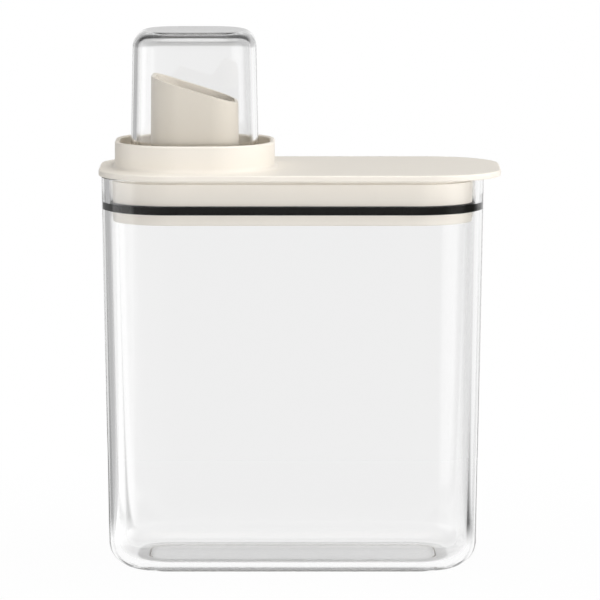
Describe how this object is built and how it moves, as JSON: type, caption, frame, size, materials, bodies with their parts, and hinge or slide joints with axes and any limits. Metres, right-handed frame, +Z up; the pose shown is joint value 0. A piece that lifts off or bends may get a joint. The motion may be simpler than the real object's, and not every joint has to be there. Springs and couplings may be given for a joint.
{
  "type": "laundry detergent dispenser",
  "caption": "Clear box for laundry powder with a cream plug lid, a slanted pouring spout in a raised collar, and a clear measuring cup that caps the spout.",
  "frame": {"origin": "middle of the whole footprint, thumb lip included, on the surface that the box stands on", "axes": "+Z up, +X along the box towards the thumb lip, away from the spout, +Y to the back"},
  "size_m": [0.1904, 0.098, 0.255],
  "materials": {
    "clear_box": "polished clear moulding",
    "cream_lid": "fine satin moulding",
    "black_gasket": "smooth silicone",
    "clear_cup": "polished clear moulding"
  },
  "bodies": {
    "container": {"container": "clear_box"},
    "lid": {"lid": "cream_lid", "gasket": "black_gasket"},
    "cup": {"measuring_cup": "clear_cup"}
  },
  "joints": [
    {"name": "lid_lift", "type": "slide", "parent": "container", "child": "lid", "axis": [0, 0, 1], "range_m": [0, 0.06]},
    {"name": "cup_lift", "type": "slide", "parent": "lid", "child": "cup", "axis": [0, 0, 1], "range_m": [0, 0.07]}
  ]
}
